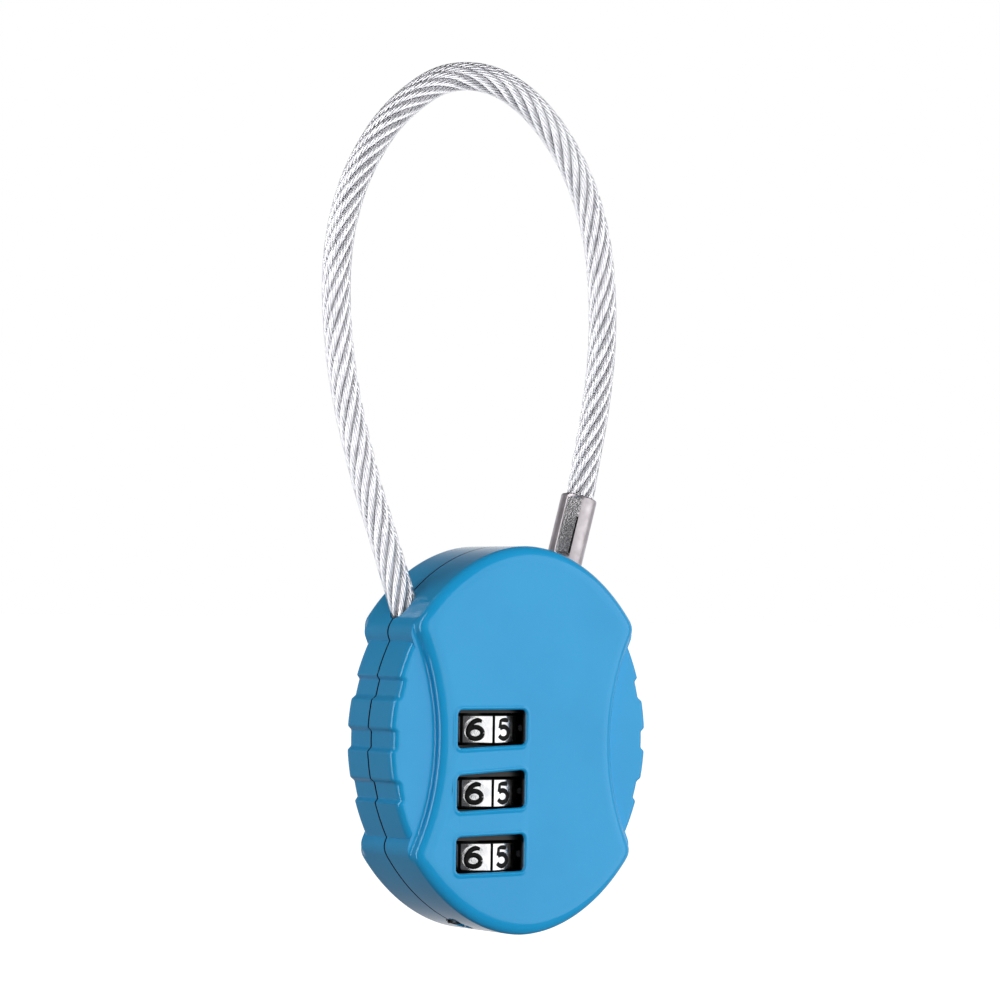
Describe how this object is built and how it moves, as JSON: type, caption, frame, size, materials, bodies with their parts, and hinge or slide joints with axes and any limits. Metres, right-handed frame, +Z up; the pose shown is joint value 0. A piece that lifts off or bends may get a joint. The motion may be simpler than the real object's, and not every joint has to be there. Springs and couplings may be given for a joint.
{
  "type": "luggage combination padlock",
  "caption": "Oval padlock with rotating number dials in the face and a flexible steel cable shackle, whose plug pulls out of the body to open the loop.",
  "frame": {"origin": "underside of the cable loop's crown, where the lock hangs from the zip pulls", "axes": "+Z up along the body's long axis, -Y out of the face with the number windows, +X to the plug's side"},
  "size_m": [0.0393, 0.013, 0.0948],
  "materials": {
    "painted_zinc": "glossy cerulean blue paint on die-cast zinc",
    "chromed_zinc": "bright plating with black filled numbers",
    "plated_steel": "zinc plated, satin",
    "spring_steel": "bare spring steel",
    "nickel_sleeve": "nickel plated copper sleeve, crimped",
    "wire_rope": "galvanised stranded steel wire",
    "clear_pvc": "clear soft PVC sleeve",
    "brass": "machined",
    "black_nylon": "moulded, matte"
  },
  "bodies": {
    "housing": {"front_shell": "painted_zinc", "rear_shell": "painted_zinc", "shell_rivets": "plated_steel", "dial_frame": "black_nylon", "detent_spring": "spring_steel", "spindle_spring": "spring_steel", "latch_guide": "black_nylon", "plug_socket": "brass", "reset_spring": "spring_steel", "anchor_ferrule": "nickel_sleeve", "wire_rope": "wire_rope", "cable_jacket": "clear_pvc"},
    "upper_dial": {"dial_upper": "chromed_zinc", "code_sleeve_upper": "black_nylon"},
    "middle_dial": {"dial_middle": "chromed_zinc", "code_sleeve_middle": "black_nylon"},
    "lower_dial": {"dial_lower": "chromed_zinc", "code_sleeve_lower": "black_nylon"},
    "plug": {"plug_ferrule": "nickel_sleeve", "plug_tip": "plated_steel"},
    "latch": {"latch_bolt": "plated_steel"},
    "code_spindle": {"spindle": "plated_steel", "spindle_clip": "plated_steel"},
    "reset_button": {"reset_pin": "black_nylon"}
  },
  "joints": [
    {"name": "upper_dial_turn", "type": "hinge", "parent": "housing", "child": "upper_dial", "pos_m": [0.0005, -0.0003, -0.06945], "axis": [0, 0, 1], "continuous": true},
    {"name": "middle_dial_turn", "type": "hinge", "parent": "housing", "child": "middle_dial", "pos_m": [0.0005, -0.0003, -0.0763], "axis": [0, 0, 1], "continuous": true},
    {"name": "lower_dial_turn", "type": "hinge", "parent": "housing", "child": "lower_dial", "pos_m": [0.0005, -0.0003, -0.08315], "axis": [0, 0, 1], "continuous": true},
    {"name": "plug_pull", "type": "slide", "parent": "housing", "child": "plug", "axis": [0.2588, 0, 0.9659], "range_m": [0, 0.012], "deforming": ["wire_rope", "cable_jacket"]},
    {"name": "latch_slide", "type": "slide", "parent": "housing", "child": "latch", "axis": [-1, 0, 0], "range_m": [0, 0.0016]},
    {"name": "spindle_shift", "type": "slide", "parent": "housing", "child": "code_spindle", "axis": [0, 0, -1], "range_m": [0, 0.0016], "deforming": ["spindle_spring"]},
    {"name": "reset_press", "type": "slide", "parent": "housing", "child": "reset_button", "axis": [0, 0, 1], "range_m": [0, 0.001], "stiffness_N_per_m": 300, "deforming": ["reset_spring"]}
  ],
  "couplings": [
    {"joint": "latch_slide", "follows": "plug_pull", "ratio": 0.13},
    {"joint": "spindle_shift", "follows": "plug_pull", "ratio": 0.13}
  ]
}
